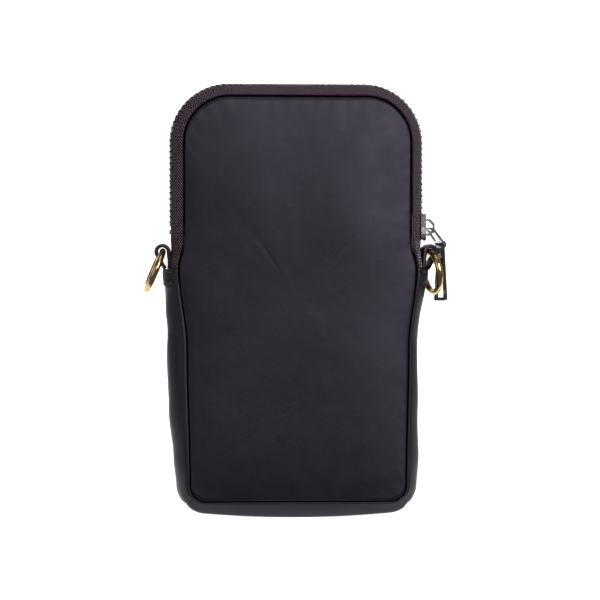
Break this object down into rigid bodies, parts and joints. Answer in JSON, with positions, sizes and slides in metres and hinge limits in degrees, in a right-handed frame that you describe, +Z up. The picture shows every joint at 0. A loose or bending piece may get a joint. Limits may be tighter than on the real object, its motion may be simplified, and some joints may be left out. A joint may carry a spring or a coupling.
{
  "type": "phone pouch",
  "caption": "Upright leather phone pouch with a zip over its top, a sewn gusset below, and a ring in a leather loop at each zip end.",
  "frame": {"origin": "centre of the pouch's box at the floor that it stands on", "axes": "+Z up along the pouch, -Y out of the back panel, X across it from zip end to zip end"},
  "size_m": [0.1298, 0.0268, 0.1839],
  "materials": {
    "leather": "smooth satin leather",
    "strap_leather": "smooth leather with painted edges",
    "padding": "foam interlining",
    "lining": "woven lining",
    "tape": "woven herringbone tape",
    "teeth": "dark antique metal",
    "nickel": "polished nickel",
    "gold": "polished gold plate"
  },
  "bodies": {
    "pouch": {"back_panel": "leather", "front_panel": "leather", "gusset_left": "leather", "gusset_right": "leather", "bottom_gusset": "leather", "zip_end_band_left": "leather", "zip_end_band_right": "leather", "ring_loop_left": "strap_leather", "ring_loop_right": "strap_leather", "back_padding": "padding", "front_padding": "padding", "back_lining": "lining", "front_lining": "lining", "gusset_lining": "lining", "zip_tape_back": "tape", "zip_tape_front": "tape", "zip_teeth_back": "teeth", "zip_teeth_front": "teeth", "top_stops": "teeth", "bottom_stop": "teeth"},
    "slider": {"slider_body": "nickel", "slider_bail": "nickel"},
    "link": {"pull_link": "nickel"},
    "plate": {"pull_plate": "nickel"},
    "left_ring": {"ring_left": "gold"},
    "right_ring": {"ring_right": "gold"}
  },
  "joints": [
    {"name": "slider_travel", "type": "slide", "parent": "pouch", "child": "slider", "axis": [0, 0, 1], "range_m": [0, 0.028], "deforming": ["zip_teeth_back", "zip_teeth_front"]},
    {"name": "link_swing", "type": "hinge", "parent": "slider", "child": "link", "pos_m": [0.0572, 0, 0.12244], "axis": [0.4384, -0.8988, 0], "range_deg": [0, 110]},
    {"name": "plate_swing", "type": "hinge", "parent": "link", "child": "plate", "pos_m": [0.06239, 0.00253, 0.11579], "axis": [0.4384, -0.8988, 0], "range_deg": [0, 60]},
    {"name": "left_ring_swing", "type": "hinge", "parent": "pouch", "child": "left_ring", "pos_m": [-0.0569, 0, 0.1125], "axis": [0, 1, 0], "range_deg": [0, 130]},
    {"name": "right_ring_turn", "type": "hinge", "parent": "pouch", "child": "right_ring", "pos_m": [0.0581, 0.00034, 0.10418], "axis": [0.9507, 0.2726, 0.1478], "continuous": true}
  ]
}
